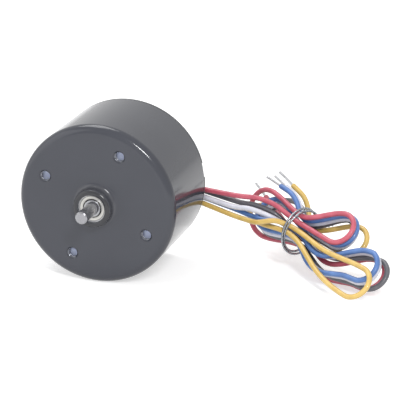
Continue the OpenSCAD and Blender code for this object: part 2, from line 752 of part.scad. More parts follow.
// Two turns of bare wire round the hank that cross once, with their ends twisted together
// behind it, as one unbroken wire.
tie_r = (tie_d + tie_wire_d) / 2;
tie_from = -45;
tie_steps = 24;
tie_shift = 0.65;
cross_lift = tie_wire_d + 0.1;
tail_len = 4;
tail_turns = 1.5;
tail_steps = 12;
tail_lay = tie_wire_d / 2 + 0.04;
tail_bend = 0.9;
bend_parts = 4;

// A point at a distance aside from the tail along the turn, a radius and a place along the hank.
function on_tie(aside, r, u) = let (a = tie_from + aside / tie_r * 180 / PI)
    in_hank(u, [r * cos(a), r * sin(a)]);
function tail(hand) = [for (i = [tail_steps:-1:1]) let (t = i / tail_steps, a = 360 * tail_turns * t)
    on_tie(hand * tail_lay * cos(a), tie_r + tail_bend + tail_len * t, tie_shift + hand * tail_lay * sin(a))];
function tail_foot(hand) = [for (k = [0:bend_parts]) let (a = 90 * k / bend_parts)
    on_tie(hand * (tail_lay + tail_bend * (1 - cos(a))), tie_r + tail_bend * (1 - sin(a)), tie_shift)];
tie_turns = [for (i = [2:2 * tie_steps - 2]) let (a = 360 * i / tie_steps, lift = a > 360 ? cross_lift : 0)
    in_hank(tie_shift * cos(a / 2), (tie_r + lift * (1 - cos(a)) / 2) * [cos(a + tie_from), sin(a + tie_from)])];
function backwards(p) = [for (i = [len(p) - 1:-1:0]) p[i]];
tie_path = concat(tail(1), tail_foot(1), tie_turns, backwards(tail_foot(-1)), backwards(tail(-1)));

module wire_tie() { color("#b9bdc2") tube(tie_path, tie_wire_d); }

can();
back_cover();
grommet();
stator_core();
front_insulator();
rear_insulator();
coils();
coil_guard();
circuit_board();
board_parts();
sensors();
front_outer_ring();
rear_outer_ring();
front_shields();
rear_shields();
wave_washer();
shaft();
rotor_core();
magnet();
front_spacer();
rear_spacer();
front_inner_ring();
rear_inner_ring();
front_cage();
front_balls();
rear_cage();
rear_balls();
lead_red();
lead_black();
lead_white();
lead_yellow();
lead_blue();
tinned_ends();
wire_tie();
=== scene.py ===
import math

import bmesh
import bpy
from mathutils import Matrix, Vector


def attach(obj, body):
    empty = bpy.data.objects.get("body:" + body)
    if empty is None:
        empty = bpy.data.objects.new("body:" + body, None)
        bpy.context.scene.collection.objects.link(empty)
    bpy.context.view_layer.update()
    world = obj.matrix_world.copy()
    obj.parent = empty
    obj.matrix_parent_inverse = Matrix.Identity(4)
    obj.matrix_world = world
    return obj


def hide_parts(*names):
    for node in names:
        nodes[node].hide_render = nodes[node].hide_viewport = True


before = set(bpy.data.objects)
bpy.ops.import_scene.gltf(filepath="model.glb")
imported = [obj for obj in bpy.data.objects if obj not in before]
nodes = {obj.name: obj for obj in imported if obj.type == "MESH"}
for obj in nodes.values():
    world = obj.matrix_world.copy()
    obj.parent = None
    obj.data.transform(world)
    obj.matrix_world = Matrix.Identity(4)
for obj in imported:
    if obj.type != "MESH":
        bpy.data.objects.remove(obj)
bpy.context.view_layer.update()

# Can: deep-drawn from one steel sheet, with the boss for the front bearing drawn out of its
# face. It is dipped in gloss black enamel, and the four screw holes are tapped afterwards, so
# their threads are bare steel.
mm = 0.001
can_r, rim_r, wall, face_t = 21.0, 2.2, 1.2, 1.5
can_end, body_end, back_edge, inner_round = 25.7, 26.5, 0.15, 1.01
boss_r, boss_h, boss_edge, boss_foot = 5.0, 3.0, 0.8, 1.3
lip_r, lip_edge, lip_t, seat_r = 3.599, 0.3, 0.7, 3.979
hole_circle, hole_mouth, hole_core, hole_major, mouth_t = 15.0, 3.3, 2.5, 2.98, 0.35
hole_count, first_hole = 4, math.radians(26)


def sheen(red, green, blue):
    """Colour as a shader takes it, from the values that a screen shows."""
    return tuple(v / 3294.6 if v <= 10 else ((v / 255 + 0.055) / 1.055) ** 2.4
                 for v in (red, green, blue)) + (1.0,)


def finish(name, colour, metal=0.0, rough=0.5, **more):
    """New finish. What is even all over it stands on the shader's own sockets."""
    made = bpy.data.materials.new(name)
    made.use_nodes = True
    made.diffuse_color = colour
    shader = made.node_tree.nodes["Principled BSDF"]
    even = {"Base Color": colour, "Metallic": metal, "Roughness": rough}
    even.update({key.replace("_", " "): value for key, value in more.items()})
    for socket, value in even.items():
        shader.inputs[socket].default_value = value
    return made


def step(made, kind, feeds, **settings):
    """One step of a finish. Each input takes a value, or another step with its output."""
    new = made.node_tree.nodes.new("ShaderNode" + kind)
    for key, value in settings.items():
        setattr(new, key, value)
    for key, value in feeds.items():
        if isinstance(value, tuple) and isinstance(value[0], bpy.types.Node):
            made.node_tree.links.new(value[0].outputs[value[1]], new.inputs[key])
        else:
            new.inputs[key].default_value = value
    return new


def to_shader(made, socket, source, output):
    """Feeds a step into the finish's shader."""
    shader = made.node_tree.nodes["Principled BSDF"]
    made.node_tree.links.new(source.outputs[output], shader.inputs[socket])


def blend_of(made, source, output, stops):
    """Colours that follow a value, from (place, colour) pairs."""
    ramp = step(made, "ValToRGB", {"Fac": (source, output)})
    ends = ramp.color_ramp.elements
    ends[0].position, ends[0].color = stops[0]
    ends[1].position, ends[1].color = stops[-1]
    for place, colour in stops[1:-1]:
        ends.new(place).color = colour
    return ramp


def tones_of(made, source, low, high):
    """Base colour that wanders between two tones."""
    to_shader(made, "Base Color", blend_of(made, source, "Fac", [(0.3, low), (0.7, high)]), "Color")


def gloss_of(made, source, output, low, high):
    """Roughness that runs between two values."""
    spread = step(made, "MapRange", {"Value": (source, output), "From Min": 0.3,
                                     "From Max": 0.7, "To Min": low, "To Max": high})
    to_shader(made, "Roughness", spread, "Result")


def relief_of(made, source, output, depth, under=None):
    """Relief of a depth in mm."""
    feeds = {"Height": (source, output), "Strength": 1.0, "Distance": depth * mm}
    if under:
        feeds["Normal"] = (under, "Normal")
    bump = step(made, "Bump", feeds)
    to_shader(made, "Normal", bump, "Normal")
    return bump


def patches(made, size, detail=3.0, spot=None):
    """Uneven patches of about one size in mm, fixed to the piece."""
    spot = spot or (step(made, "TexCoord", {}), "Object")
    return step(made, "TexNoise", {"Vector": spot, "Scale": 1 / (size * mm), "Detail": detail})


def from_axis(made):
    """Place on the piece, and its distance from the shaft's axis."""
    spot = step(made, "TexCoord", {})
    flat = step(made, "VectorMath", {0: (spot, "Object"), 1: (1, 0, 1)}, operation="MULTIPLY")
    return spot, step(made, "VectorMath", {0: (flat, 0)}, operation="LENGTH")


def corner(r, y, radius, start, end, steps=10):
    """Points of a round corner in a section."""
    turns = [math.radians(start + (end - start) * i / steps) for i in range(steps + 1)]
    return [(r + radius * math.cos(a), y + radius * math.sin(a)) for a in turns]


def placed(name, data):
    """Puts a mesh, a lamp or a camera in the scene."""
    thing = bpy.data.objects.new(name, data)
    bpy.context.scene.collection.objects.link(thing)
    return thing


def mesh_of(name, work, outwards=True):
    """Plain mesh from what was built, with its faces turned outwards."""
    if outwards:
        bmesh.ops.recalc_face_normals(work, faces=work.faces)
    mesh = bpy.data.meshes.new(name)
    work.to_mesh(mesh)
    work.free()
    return mesh


def smooth(piece, sharp):
    """Smooth rounds, with every edge past an angle kept sharp."""
    piece.data.shade_smooth()
    piece.data.set_sharp_from_angle(angle=math.radians(sharp))
    return piece


def as_piece(name, mesh, made, sharp=30):
    """Puts a mesh in the scene as a piece with one finish and smooth rounds."""
    mesh.materials.clear()
    mesh.materials.append(made)
    return smooth(placed(name, mesh), sharp)


def turned(name, section, made, steps=192, sharp=30):
    """Piece turned round the shaft's axis, from the closed section of its wall in mm."""
    work = bmesh.new()
    rings = []
    for r, y in section:
        count = 1 if r < 1e-6 else steps
        rings.append([work.verts.new((r * mm * math.cos(2 * math.pi * k / steps), y * mm,
                                      r * mm * math.sin(2 * math.pi * k / steps)))
                      for k in range(count)])
    for one, two in zip(rings, rings[1:] + rings[:1]):
        for k in range(steps):
            corners = list(dict.fromkeys([one[k % len(one)], one[(k + 1) % len(one)],
                                          two[(k + 1) % len(two)], two[k % len(two)]]))
            if len(corners) > 2:
                work.faces.new(corners)
    return as_piece(name, mesh_of(name, work), made, sharp)


def settled(piece):
    """Turns what the modifiers make into the piece's own plain mesh."""
    bpy.context.view_layer.update()
    seen = piece.evaluated_get(bpy.context.evaluated_depsgraph_get())
    mesh = bpy.data.meshes.new_from_object(seen)
    piece.modifiers.clear()
    piece.data = mesh
    return piece


def bored(piece, cutters, sharp=30):
    """Cuts other shapes out of a piece."""
    for cutter in cutters:
        tool = piece.modifiers.new("cut", "BOOLEAN")
        tool.operation, tool.solver, tool.object = "DIFFERENCE", "EXACT", cutter
    settled(piece)
    for cutter in cutters:
        bpy.data.objects.remove(cutter)
    return smooth(piece, sharp)


def drill(x, z, start_r, end_r, start, end, sides=64):
    """Round cutter along the shaft's direction, straight or tapered."""
    work = bmesh.new()
    middle = Matrix.Translation(Vector((x, (start + end) / 2, z)) * mm)
    bmesh.ops.create_cone(work, cap_ends=True, segments=sides, radius1=end_r * mm,
                          radius2=start_r * mm, depth=(end - start) * mm,
                          matrix=middle @ Matrix.Rotation(math.pi / 2, 4, "X"))
    return placed("drill", mesh_of("drill", work, False))


# The enamel is a thin gloss coat that flowed a little before it set, with faint dust under it.
# Its colour is painted by distance from the shaft's axis: darker on the front of the boss as
# painted shade, and paler in a ring round the boss's side as painted light.
enamel = finish("black enamel", sheen(59, 61, 69), rough=0.14)
flow = patches(enamel, 1.1, 0.0)
dust = patches(enamel, 0.12, 2.0)
tone = patches(enamel, 14.0, 3.0)
coat = blend_of(enamel, tone, "Fac", [(0.25, sheen(57, 59, 67)), (0.75, sheen(61, 63, 71))])
boss_front, boss_clear = 4.8, 5.8
boss_shading_mask = step(enamel, "MapRange", {"Value": (from_axis(enamel)[1], "Value"),
                                     "From Min": boss_front * mm, "From Max": boss_clear * mm})
# Painted shade darkens the front of the boss, and painted light makes a ring round its side paler;
# from there out the enamel keeps its colour.
share = blend_of(enamel, boss_shading_mask, "Result", [
    (0.0, (0.3, 0.29, 0.27, 1)), (0.12, (0.84, 0.81, 0.74, 1)), (0.5, (0.78, 0.75, 0.68, 1)),
    (1.0, (0.5, 0.5, 0.5, 1))])
coat_half_with_painted_shading = step(enamel, "VectorMath", {0: (coat, "Color"), 1: (share, "Color")},
              operation="MULTIPLY")
to_shader(enamel, "Base Color",
          step(enamel, "VectorMath", {0: (coat_half_with_painted_shading, 0), "Scale": 2.0}, operation="SCALE"), 0)
gloss_of(enamel, dust, "Fac", 0.11, 0.17)
relief_of(enamel, flow, "Fac", 0.0015, relief_of(enamel, dust, "Fac", 0.0004))

# The points close to each round keep the flats beside it flat in the shading.
can_section = (
    corner(lip_r + lip_edge, lip_edge - boss_h, lip_edge, 180, 270, 6)
    + [(lip_r + lip_edge + 0.02, -boss_h), (boss_r - boss_edge - 0.02, -boss_h)]
    + corner(boss_r - boss_edge, boss_edge - boss_h, boss_edge, 270, 360)
    + [(boss_r, boss_edge - boss_h + 0.03), (boss_r, -boss_foot - 0.03)]
    + corner(boss_r + boss_foot, -boss_foot, boss_foot, 180, 90, 12)
    + [(boss_r + boss_foot + 0.06, 0), (can_r - rim_r - 0.06, 0)]
    + corner(can_r - rim_r, rim_r, rim_r, 270, 360, 14)
    + [(can_r, rim_r + 0.06), (can_r, can_end - back_edge - 0.05)]
    + corner(can_r - back_edge, can_end - back_edge, back_edge, 0, 90, 4)
    + [(can_r - wall, can_end), (can_r - wall, face_t + inner_round + 0.09)]
    + corner(can_r - wall - inner_round, face_t + inner_round, inner_round, 360, 270, 6)
    + [(seat_r, face_t), (seat_r, lip_t - boss_h), (lip_r, lip_t - boss_h)])
can_shell = turned("can_shell", can_section, enamel)
holes, cut_past, mouth_past = [], 0.01, 0.04
for k in range(hole_count):
    a = first_hole + k * 2 * math.pi / hole_count
    x, z = hole_circle * math.cos(a), -hole_circle * math.sin(a)
    holes.append(drill(x, z, hole_mouth / 2 + mouth_t, hole_core / 2 + mouth_past,
                       -mouth_t, mouth_t + cut_past))
    holes.append(drill(x, z, hole_major / 2 + cut_past, hole_major / 2 + cut_past,
                       mouth_t, face_t + 1))
bored(can_shell, holes)
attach(can_shell, "housing")
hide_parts("can")


# Tapped holes: M3 threads cut after the enamel, so the metal in them is bare and catches light.
# The bearing's seat is bored then too, and its edge is bare.
def shape_tree(title, inputs, result):
    """New Geometry Nodes tree, and the identifiers of its named inputs."""
    tree = bpy.data.node_groups.new(title, "GeometryNodeTree")
    sockets = {name: tree.interface.new_socket(name, in_out="INPUT",
                                               socket_type="NodeSocket" + kind).identifier
               for name, kind in inputs}
    tree.interface.new_socket(result, in_out="OUTPUT", socket_type="NodeSocketGeometry")
    return tree, sockets


def ring_of_copies():
    """Geometry Nodes tree that repeats a shape evenly round the shaft's axis."""
    tree, sockets = shape_tree("ring of copies", (
        ("Shape", "Geometry"), ("Copies", "Int"), ("First turn", "Float"),
        ("Finish", "Material")), "Ring")
    new = tree.nodes.new
    given, made = new("NodeGroupInput"), new("NodeGroupOutput")
    spots, place = new("GeometryNodePoints"), new("GeometryNodeInstanceOnPoints")
    index, share = new("GeometryNodeInputIndex"), new("ShaderNodeMath")
    turn, total, axis = new("ShaderNodeMath"), new("ShaderNodeMath"), new("ShaderNodeCombineXYZ")
    real, coat = new("GeometryNodeRealizeInstances"), new("GeometryNodeSetMaterial")
    share.operation, turn.operation, total.operation = "DIVIDE", "MULTIPLY", "ADD"
    turn.inputs[1].default_value = 2 * math.pi
    for a, b in (
            (given.outputs["Copies"], spots.inputs["Count"]),
            (given.outputs["Shape"], place.inputs["Instance"]),
            (spots.outputs[0], place.inputs["Points"]),
            (index.outputs[0], share.inputs[0]), (given.outputs["Copies"], share.inputs[1]),
            (share.outputs[0], turn.inputs[0]), (turn.outputs[0], total.inputs[0]),
            (given.outputs["First turn"], total.inputs[1]), (total.outputs[0], axis.inputs["Y"]),
            (axis.outputs[0], place.inputs["Rotation"]), (place.outputs[0], real.inputs[0]),
            (real.outputs[0], coat.inputs["Geometry"]),
            (given.outputs["Finish"], coat.inputs["Material"]), (coat.outputs[0], made.inputs[0])):
        tree.links.new(a, b)
    return tree, sockets


copy_ring, copy_sockets = ring_of_copies()


def repeated(piece, copies, first_turn, made, sharp=30):
    """Repeats a piece round the shaft and keeps the result as one plain mesh."""
    tool = piece.modifiers.new("ring", "NODES")
    tool.node_group = copy_ring
    tool[copy_sockets["Copies"]] = copies
    tool[copy_sockets["First turn"]] = first_turn
    tool[copy_sockets["Finish"]] = made
    return smooth(settled(piece), sharp)


def tapped_wall(name, made):
    """Wall of one tapped hole, with the thread's ridge winding down it."""
    around, down, lead_of_thread = 40, 26, 0.5
    ridge_rise, ridge_flat = 2.4, 0.6
    work = bmesh.new()
    columns = []
    for k in range(around):
        a = 2 * math.pi * k / around
        column = []
        for i in range(down + 1):
            y = mouth_t + (face_t - mouth_t) * i / down
            wind = (y / lead_of_thread + k / around) % 1
            cut = min(1, max(0, ridge_rise * abs(2 * wind - 1) - ridge_flat))
            column.append((hole_core / 2 + (hole_major - hole_core) / 2 * cut, y))
        column += [(hole_major / 2, face_t), (hole_major / 2, mouth_t)]
        columns.append([work.verts.new(((hole_circle + r * math.cos(a)) * mm, y * mm,
                                        r * math.sin(a) * mm)) for r, y in column])
    for one, two in zip(columns, columns[1:] + columns[:1]):
        for i in range(len(one)):
            j = (i + 1) % len(one)
            work.faces.new((one[i], one[j], two[j], two[i]))
    return as_piece(name, mesh_of(name, work), made)


cut_steel = finish("cut steel", sheen(112, 114, 120), metal=1.0, rough=0.22)
swirl = patches(cut_steel, 0.15)
tones_of(cut_steel, swirl, sheen(82, 84, 89), sheen(148, 150, 158))
gloss_of(cut_steel, swirl, "Fac", 0.16, 0.3)
relief_of(cut_steel, swirl, "Fac", 0.003)

threads = repeated(tapped_wall("tapped_threads", cut_steel), hole_count, first_hole, cut_steel)
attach(threads, "housing")

can_shell.data.materials.append(cut_steel)
bare_out = 0.1
for face in can_shell.data.polygons:
    if math.hypot(face.center.x, face.center.z) < (lip_r + bare_out) * mm:
        face.material_index = 1

# Coil guard: a ring of pale fibre sheet that keeps the coils off the can. It shows through the
# tapped holes.
fibre = finish("guard fibre", sheen(214, 224, 255), rough=0.5)
fleck = patches(fibre, 0.5, 6.0)
tones_of(fibre, fleck, sheen(208, 218, 253), sheen(220, 230, 255))
gloss_of(fibre, fleck, "Fac", 0.45, 0.65)
relief_of(fibre, fleck, "Fac", 0.01)


def coated(node, made):
    """Gives a CAD node its finish."""
    nodes[node].data.materials.clear()
    nodes[node].data.materials.append(made)


coated("coil_guard", fibre)

# Stator stack: thin electrical steel sheets, stamped with nine teeth and stacked, with a line
# between one sheet and the next.
stack_steel = finish("stacked sheets", sheen(120, 124, 130), metal=0.9, rough=0.45)
sheet_t, wave_run = 0.5, 0.314
sheets = step(stack_steel, "TexWave", {
    "Vector": (step(stack_steel, "TexCoord", {}), "Object"), "Scale": wave_run / (sheet_t * mm),
    "Distortion": 0.3, "Detail": 1.0}, wave_type="BANDS", bands_direction="Y")
to_shader(stack_steel, "Base Color", blend_of(stack_steel, sheets, "Fac", [
    (0.0, sheen(58, 60, 66)), (0.25, sheen(122, 126, 132)), (1.0, sheen(148, 152, 158))]), "Color")
gloss_of(stack_steel, patches(stack_steel, 1.2), "Fac", 0.38, 0.55)
relief_of(stack_steel, sheets, "Fac", 0.03)
coated("stator_core", stack_steel)
coated("rotor_core", stack_steel)

# Insulators: end plates of moulded nylon, pressed on the stack's front and back. They keep the
# wire off the steel, and their fences hold the coils, the guard and the board.
nylon = finish("moulded nylon", sheen(222, 226, 232), rough=0.45, Subsurface_Weight=0.15)
nylon.node_tree.nodes["Principled BSDF"].inputs["Subsurface Scale"].default_value = 0.0006
grain = patches(nylon, 0.35, 4.0)
tones_of(nylon, patches(nylon, 6.0), sheen(212, 216, 222), sheen(230, 233, 238))
gloss_of(nylon, grain, "Fac", 0.38, 0.52)
relief_of(nylon, grain, "Fac", 0.006)
coated("front_insulator", nylon)
coated("rear_insulator", nylon)


# Coils: enamelled copper wire, wound turn beside turn round each tooth and its insulators.
# The outer layer is drawn as one wire, and the layers under it as a block.
def swept(name, path, radius, made, sides=12, ends=0.0):
    """Round tube along a path in mm, with its own map: along it and round it."""
    work = bmesh.new()
    chart, map_length = work.loops.layers.uv.new("along"), 10
    count = len(path)
    headings = [(path[min(i + 1, count - 1)] - path[max(i - 1, 0)]).normalized()
                for i in range(count)]
    out = headings[0].orthogonal().normalized()
    rings, run, place = [], 0.0, []
    for i in range(count):
        out = (out - out.dot(headings[i]) * headings[i]).normalized()
        beside = headings[i].cross(out)
        run += (path[i] - path[i - 1]).length if i else 0.0
        place.append(run)
        size = radius - ends if i in (0, count - 1) else radius
        rings.append([
            work.verts.new((path[i] + size * (math.cos(a) * out + math.sin(a) * beside)) * mm)
            for a in (2 * math.pi * k / sides for k in range(sides))])
    for i in range(count - 1):
        for k in range(sides):
            n = (k + 1) % sides
            face = work.faces.new((rings[i][k], rings[i][n], rings[i + 1][n], rings[i + 1][k]))
            spots = ((i, k), (i, k + 1), (i + 1, k + 1), (i + 1, k))
            for loop, (along, round_it) in zip(face.loops, spots):
                loop[chart].uv = (place[along] / map_length, round_it / sides)
    work.faces.new(rings[0][::-1])
    work.faces.new(rings[-1])
    return as_piece(name, mesh_of(name, work, False), made, 50)


copper = finish("enamelled copper", sheen(170, 92, 44), metal=0.85, rough=0.28, Coat_Weight=0.5)
tint = patches(copper, 1.6)
tones_of(copper, tint, sheen(148, 74, 34), sheen(190, 108, 56))
gloss_of(copper, tint, "Fac", 0.22, 0.36)
relief_of(copper, patches(copper, 0.1), "Fac", 0.002)

coil_from, coil_to, coil_mid, coil_t, wire_d = 11.45, 16.85, 13.0, 1.5, 0.4
teeth, tooth_half, stack_half = 9, 1.77, 5.52


def coil_turns():
    """One unbroken wire: rounded turns that step out along the tooth."""
    turns = int((coil_to - coil_from) / wire_d)
    half = (stack_half + coil_t - wire_d / 2, tooth_half + coil_t - wire_d / 2)
    round_r, round_steps = 0.8, 4
    outline = []
    for cy, cz, start in ((1, 1, 0), (-1, 1, 90), (-1, -1, 180), (1, -1, 270)):
        for i in range(round_steps + 1):
            a = math.radians(start + 90 * i / round_steps)
            outline.append((cy * (half[0] - round_r) + round_r * math.cos(a),
                            cz * (half[1] - round_r) + round_r * math.sin(a)))
    path = []
    for k in range(turns * len(outline)):
        y, z = outline[k % len(outline)]
        path.append(Vector((coil_from + wire_d / 2 + wire_d * k / len(outline), coil_mid + y, z)))
    return path


coil_wire = swept("coil_wire", coil_turns(), wire_d / 2, copper, sides=6)
coil_wire = repeated(coil_wire, teeth, 0.0, copper, sharp=50)
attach(coil_wire, "housing")


def layers_below(name, made):
    """The layers of wire under the outer one, as one block round the tooth."""
    work, short = bmesh.new(), 0.1
    outside = (stack_half + coil_t - wire_d, tooth_half + coil_t - wire_d)
    inside = (stack_half, tooth_half)
    rings = []
    for x, (hy, hz) in ((coil_from + short, inside), (coil_from + short, outside),
                        (coil_to - short, outside), (coil_to - short, inside)):
        rings.append([work.verts.new(Vector((x, coil_mid + sy * hy, sz * hz)) * mm)
                      for sy, sz in ((1, 1), (-1, 1), (-1, -1), (1, -1))])
    for one, two in zip(rings, rings[1:] + rings[:1]):
        for k in range(4):
            work.faces.new((one[k], one[(k + 1) % 4], two[(k + 1) % 4], two[k]))
    return as_piece(name, mesh_of(name, work), made)


coil_layers = repeated(layers_below("coil_layers", copper), teeth, 0.0, copper)
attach(coil_layers, "housing")
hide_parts("coils")

# Circuit board: glass fibre sheet under green lacquer, with the drive's parts on its back and
# three magnetic sensors that stand towards the magnet. The lacquer is paler over copper.
lacquer = finish("green lacquer", sheen(30, 98, 60), rough=0.3, Coat_Weight=0.4)
weave = step(lacquer, "TexBrick", {"Vector": (step(lacquer, "TexCoord", {}), "Object"),
                                   "Scale": 600.0, "Mortar Size": 0.06})
to_shader(lacquer, "Base Color", blend_of(lacquer, patches(lacquer, 1.4, 1.0), "Fac", [
    (0.44, sheen(24, 84, 52)), (0.5, sheen(30, 98, 60)), (0.56, sheen(46, 122, 76))]), "Color")
gloss_of(lacquer, patches(lacquer, 3.0), "Fac", 0.24, 0.38)
relief_of(lacquer, weave, "Fac", 0.004)
coated("circuit_board", lacquer)

epoxy = finish("moulded epoxy", sheen(38, 38, 41), rough=0.55)
speck = patches(epoxy, 0.12, 4.0)
tones_of(epoxy, speck, sheen(32, 32, 35), sheen(50, 50, 53))
gloss_of(epoxy, speck, "Fac", 0.45, 0.65)
relief_of(epoxy, speck, "Fac", 0.004)
coated("board_parts", epoxy)
coated("sensors", epoxy)


# Bearings: two shielded ball bearings. Rings of ground steel, shields stamped from thin sheet
# and snapped into the outer rings, balls in a pressed cage, and a wave washer behind the rear one.
def turned_metal(name, dark, light, low, high, line, depth):
    """Metal with the fine lines that turning or grinding leaves round the axis.

    Its roughness runs from low to high. The lines' width and depth are in mm.
    """
    made = finish(name, light, metal=1.0, rough=(low + high) / 2)
    spot, radius = from_axis(made)
    parts = step(made, "SeparateXYZ", {0: (spot, "Object")})
    place = step(made, "CombineXYZ", {"X": (radius, "Value"), "Y": (parts, "Y")})
    lines = patches(made, line, 3.0, (place, "Vector"))
    tones_of(made, lines, dark, light)
    gloss_of(made, patches(made, 1.5), "Fac", low, high)
    relief_of(made, lines, "Fac", depth)
    return made


ground_steel = turned_metal("ground steel", sheen(140, 141, 144), sheen(184, 185, 188),
                            0.16, 0.28, 0.08, 0.0015)
side_steel = turned_metal("ground sides", sheen(174, 174, 175), sheen(208, 208, 209),
                          0.3, 0.42, 0.08, 0.0015)
shield_metal = turned_metal("stamped shield", sheen(174, 173, 169), sheen(202, 201, 197),
                            0.3, 0.42, 0.12, 0.002)
bearing_r, bore_r, bearing_w, ring_t = 3.969, 1.5975, 3.571, 0.66
race_at, ball_r, ball_play, race_stop, edge = 2.78325, 0.794, 0.03, 4, 0.12
bearing_from = {"front": -2.3, "rear": 19.909}
shield_low, shield_high, shield_in = bore_r + ring_t + 0.17, bearing_r - ring_t - 0.04, 0.1
# Each pair is a radius, and how far in from the shield's outer face.
shield_section = [
    (shield_high, 0.2), (shield_high, 0.06), (shield_high - 0.06, 0), (shield_low + 0.2, 0),
    (shield_low + 0.08, 0.03), (shield_low, 0.12), (shield_low, 0.34), (shield_low + 0.1, 0.34),
    (shield_low + 0.1, 0.2)]


def race(side, y):
    """Groove of a ring for its balls, from front to back."""
    groove, turn = ball_r + ball_play, 0 if side > 0 else 180
    reach = math.degrees(math.acos((bearing_r - ring_t - race_at) / groove)) - race_stop
    return corner(race_at, y + bearing_w / 2, groove, turn - side * reach, turn + side * reach, 12)


for name, y in bearing_from.items():
    r, back_y = bearing_r, y + bearing_w
    outer = turned(
        name + "_race_outside",
        [(r - ring_t, back_y - edge), (r - ring_t + edge, back_y), (r - edge, back_y)]
        + corner(r - edge, back_y - edge, edge, 90, 0, 4)
        + corner(r - edge, y + edge, edge, 0, -90, 4)
        + [(r - ring_t + edge, y), (r - ring_t, y + edge)] + race(1, y),
        side_steel, steps=128)
    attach(outer, "housing")
    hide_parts(name + "_outer_ring")
    r = bore_r
    inner = turned(
        name + "_race_inside", [(r + ring_t, y + edge), (r + ring_t - edge, y), (r + edge, y)]
        + corner(r + edge, y + edge, edge, 270, 180, 4)
        + corner(r + edge, back_y - edge, edge, 180, 90, 4)
        + [(r + ring_t - edge, back_y), (r + ring_t, back_y - edge)] + race(-1, y),
        ground_steel, steps=96)
    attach(inner, "rotor")
    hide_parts(name + "_inner_ring")
    for end, face, way in (("out", y + shield_in, 1), ("in", back_y - shield_in, -1)):
        section = [(r, face + way * depth) for r, depth in shield_section]
        plate = turned(name + "_shield_" + end, section, shield_metal, steps=128, sharp=40)
        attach(plate, "housing")
        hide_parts(name + "_shields")

cage_brass = turned_metal("pressed cage", sheen(168, 142, 84), sheen(204, 178, 112),
                          0.3, 0.45, 0.1, 0.002)
polished = turned_metal("polished balls", sheen(205, 206, 208), sheen(228, 229, 231),
                        0.05, 0.1, 0.3, 0.0002)
for node, made in (("front_cage", cage_brass), ("rear_cage", cage_brass), ("front_balls", polished),
                   ("rear_balls", polished), ("wave_washer", ground_steel)):
    coated(node, made)

# Rotor: a ring magnet glued on a steel core that is pressed on the ground shaft, between two
# brass spacers that set its place.
shaft_steel = turned_metal("ground shaft", sheen(186, 186, 190), sheen(222, 222, 226),
                           0.24, 0.36, 0.1, 0.002)
# Painted shade: the shaft's ends and bevels take this darker steel, partly for their faced finish
# and partly to dim the bright room seen in them.
faced_and_shaded_steel = turned_metal("faced end with painted shade", sheen(124, 124, 128), sheen(172, 172, 176),
                           0.16, 0.26, 0.1, 0.002)
shaft_r, shaft_out, shaft_end, bevel = 1.5875, 10.1, 23.6, 0.25
groove_from, groove_to, groove_t = -2.95, -2.35, 0.2
shaft = turned("ground_shaft", [
    (0, -shaft_out), (shaft_r - bevel - 0.03, -shaft_out), (shaft_r - bevel, 0.01 - shaft_out),
    (shaft_r, bevel - shaft_out), (shaft_r, bevel + 0.05 - shaft_out), (shaft_r, groove_from),
    (shaft_r - groove_t, groove_from + 0.01), (shaft_r - groove_t, groove_to - 0.01),
    (shaft_r, groove_to), (shaft_r, shaft_end - bevel - 0.05), (shaft_r, shaft_end - bevel),
    (shaft_r - bevel, shaft_end), (0, shaft_end)], shaft_steel, steps=96, sharp=25)
shaft.data.materials.append(faced_and_shaded_steel)
# Faces that look along the shaft, its bevels among them, get the darker steel of painted shade.
end_on = 0.6
for face in shaft.data.polygons:
    if abs(face.normal.y) > end_on:
        face.material_index = 1
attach(shaft, "rotor")
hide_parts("shaft")

magnet_skin = turned_metal("plated magnet", sheen(96, 98, 104), sheen(132, 135, 142),
                           0.3, 0.45, 0.4, 0.003)
brass = turned_metal("turned brass", sheen(176, 142, 62), sheen(214, 180, 96),
                     0.22, 0.34, 0.1, 0.002)
coated("magnet", magnet_skin)
coated("front_spacer", brass)
coated("rear_spacer", brass)

# Back cover: a thick plate pressed into the can, with a pocket for the rear bearing, a window
# for the leads, and three notches where the press tool grips its flange.
cover_black = finish("cover black", sheen(56, 57, 62), rough=0.32)
cast = patches(cover_black, 0.45, 5.0)
tones_of(cover_black, patches(cover_black, 7.0), sheen(51, 52, 57), sheen(61, 62, 67))
gloss_of(cover_black, cast, "Fac", 0.26, 0.38)
relief_of(cover_black, cast, "Fac", 0.006)

window_w, window_h, window_x, window_z = 4.65, 6.8, 14.0, -5.6
plate_at, hub_at, collar_at, pocket_floor = 24.7, 20.109, 22.0, 23.95
hub_r, collar_in, collar_out, flange_at = 5.379, 18.73, 19.78, can_end + 0.01
flange_edge, flange_round, flange_r = 0.12, 0.25, can_r - 0.3
pressed_ring, pressed_t = (17.4, 17.6, 18.2, 18.4), 0.15
centre_ring, centre_t, centre_mark, centre_mark_t = (3.85, 4.0, 4.45, 4.6), 0.12, 0.9, 0.4
cover_section = (
    [(0, pocket_floor), (seat_r, pocket_floor), (seat_r, hub_at), (hub_r, hub_at),
     (hub_r, plate_at), (collar_in, plate_at), (collar_in, collar_at), (collar_out, collar_at),
     (collar_out, flange_at), (can_r - flange_edge, flange_at)]
    + corner(can_r - flange_edge, flange_at + flange_edge, flange_edge, 270, 360, 4)
    + [(can_r, can_end + 0.2), (can_r, body_end - flange_round - 0.05)]
    + corner(can_r - flange_round, body_end - flange_round, flange_round, 0, 90, 6)
    + [(flange_r, body_end), (pressed_ring[3], body_end), (pressed_ring[2], body_end - pressed_t),
       (pressed_ring[1], body_end - pressed_t), (pressed_ring[0], body_end),
       (centre_ring[3], body_end), (centre_ring[2], body_end - centre_t),
       (centre_ring[1], body_end - centre_t), (centre_ring[0], body_end), (centre_mark, body_end),
       (0, body_end - centre_mark_t)])
cover_plate = turned("cover_plate", cover_section, cover_black)


